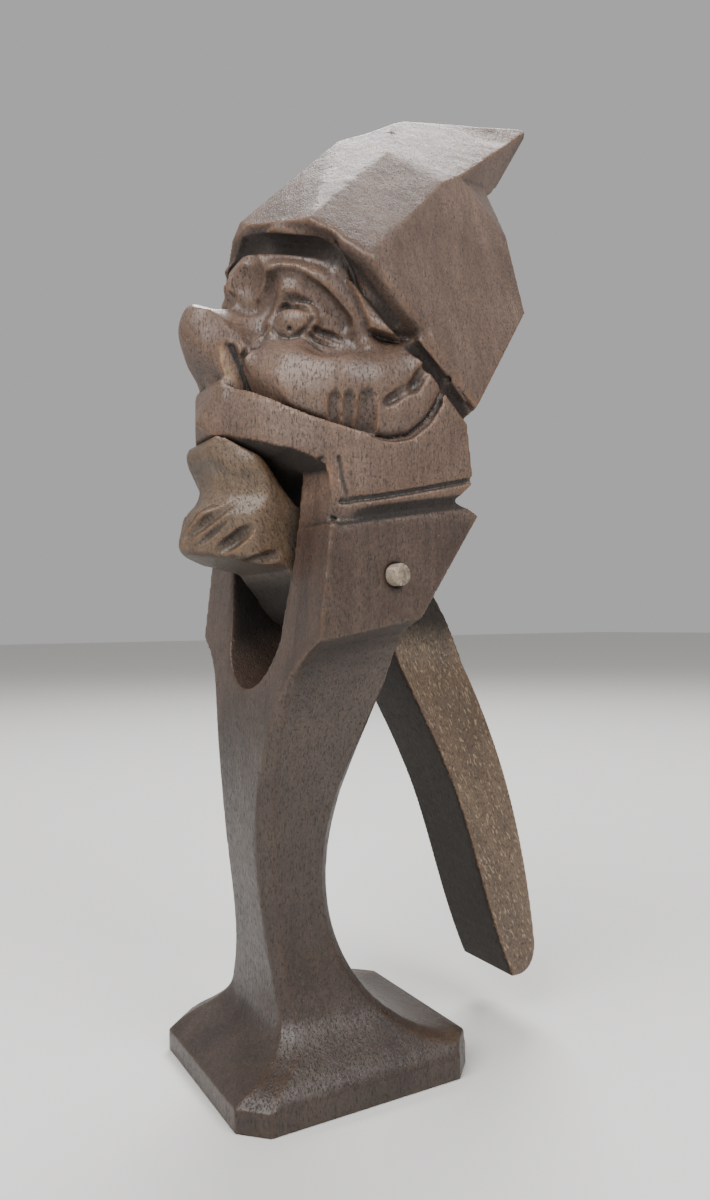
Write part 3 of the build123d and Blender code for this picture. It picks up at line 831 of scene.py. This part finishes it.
# Pivot pin: a round dowel with softened ends
PIN_RADIUS = 0.00277
PIN_HALF_LENGTH = 0.0418
PIN_PROFILE = [(0.0, 0.0), (0.72, 0.02), (0.90, 0.12), (1.0, 0.45)]
PIN_SIDES = 48
rings = []
for end in (1, -1):
    ordered = PIN_PROFILE if end > 0 else PIN_PROFILE[::-1]
    for share, back in ordered[1:] if end > 0 else ordered[:-1]:
        rings.append((share * PIN_RADIUS, end * (PIN_HALF_LENGTH - back * MM)))
pin_points = [(PIN_HALF_LENGTH, *PIN_PLACE)]
for radius, x in rings:
    for k in range(PIN_SIDES):
        turn = 2 * math.pi * k / PIN_SIDES
        y = PIN_PLACE[0] + radius * math.cos(turn)
        z = PIN_PLACE[1] + radius * math.sin(turn)
        pin_points.append((x, y, z))
pin_points.append((-PIN_HALF_LENGTH, *PIN_PLACE))
pin_faces = []
for k in range(PIN_SIDES):
    after = (k + 1) % PIN_SIDES
    pin_faces.append((0, 1 + k, 1 + after))
    for row in range(len(rings) - 1):
        a = 1 + row * PIN_SIDES
        pin_faces.append((a + k, a + PIN_SIDES + k, a + PIN_SIDES + after, a + after))
    a = 1 + (len(rings) - 1) * PIN_SIDES
    pin_faces.append((a + after, a + k, len(pin_points) - 1))
pin_mesh = bpy.data.meshes.new("dowel")
pin_mesh.from_pydata(pin_points, [], pin_faces)
pin_mesh.polygons.foreach_set("use_smooth", [True] * len(pin_faces))
dowel = bpy.data.objects.new("dowel", pin_mesh)
bpy.context.scene.collection.objects.link(dowel)
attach(dowel, "figure")
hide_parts("pivot_pin")
pin_mesh.materials.append(pale_dowel("dowel_wood"))

# Camera
LENS = 26.9451
SENSOR = 36.0
AZIMUTH = math.radians(60.464)
PITCH = math.radians(1.409)
ROLL = math.radians(-0.685)
EYE = (0.22585, -0.11329, 0.12023)
ahead = np.array([
    -math.sin(AZIMUTH) * math.cos(PITCH),
    math.cos(AZIMUTH) * math.cos(PITCH),
    math.sin(PITCH),
])
level = np.array([math.cos(AZIMUTH), math.sin(AZIMUTH), 0.0])
above = np.cross(level, ahead)
right = math.cos(ROLL) * level + math.sin(ROLL) * above
up = -math.sin(ROLL) * level + math.cos(ROLL) * above
view = bpy.data.cameras.new("photo_view")
view.sensor_width = SENSOR
view.lens = LENS
view.clip_start = 0.01
camera = bpy.data.objects.new("photo_view", view)
camera.matrix_world = Matrix((
    (right[0], up[0], -ahead[0], EYE[0]),
    (right[1], up[1], -ahead[1], EYE[1]),
    (right[2], up[2], -ahead[2], EYE[2]),
    (0, 0, 0, 1),
))
bpy.context.scene.collection.objects.link(camera)
bpy.context.scene.camera = camera


def flat_material(name, colour, roughness):
    made = bpy.data.materials.new(name)
    made.use_nodes = True
    shader = made.node_tree.nodes["Principled BSDF"]
    shader.inputs["Base Color"].default_value = (*colour, 1.0)
    shader.inputs["Roughness"].default_value = roughness
    return made


# Floor and light
FLOOR_HALF = 6.0
floor_mesh = bpy.data.meshes.new("floor")
FLOOR_CORNERS = [(-1, -1), (1, -1), (1, 1), (-1, 1)]
floor_mesh.from_pydata([(FLOOR_HALF * x, FLOOR_HALF * y, 0) for x, y in FLOOR_CORNERS], [], [(0, 1, 2, 3)])
floor = bpy.data.objects.new("floor", floor_mesh)
floor_mesh.materials.append(flat_material("pale_floor", (0.74, 0.73, 0.71), 0.7))
bpy.context.scene.collection.objects.link(floor)


def soft_light(name, place, target, size, power):
    lamp = bpy.data.lights.new(name, "AREA")
    lamp.shape = "SQUARE"
    lamp.size = size
    lamp.energy = power
    holder = bpy.data.objects.new(name, lamp)
    direction = Vector(target) - Vector(place)
    holder.rotation_euler = direction.to_track_quat("-Z", "Y").to_euler()
    holder.location = place
    bpy.context.scene.collection.objects.link(holder)


FACE_HEIGHT = (0.0, 0.0, 0.18)
soft_light("overhead", (-0.58, 0.42, 1.12), (0.0, 0.01, 0.22), 0.55, 14.0)
soft_light("side_key", (0.80, 0.18, 0.85), (0.03, 0.0, 0.2), 0.5, 7.0)
soft_light("front_key", (0.35, -0.85, 1.0), FACE_HEIGHT, 0.9, 18.0)

world = bpy.data.worlds.new("studio")
world.use_nodes = True
backdrop = world.node_tree.nodes["Background"]
backdrop.inputs["Color"].default_value = (0.80, 0.80, 0.80, 1.0)
backdrop.inputs["Strength"].default_value = 0.55
bpy.context.scene.world = world
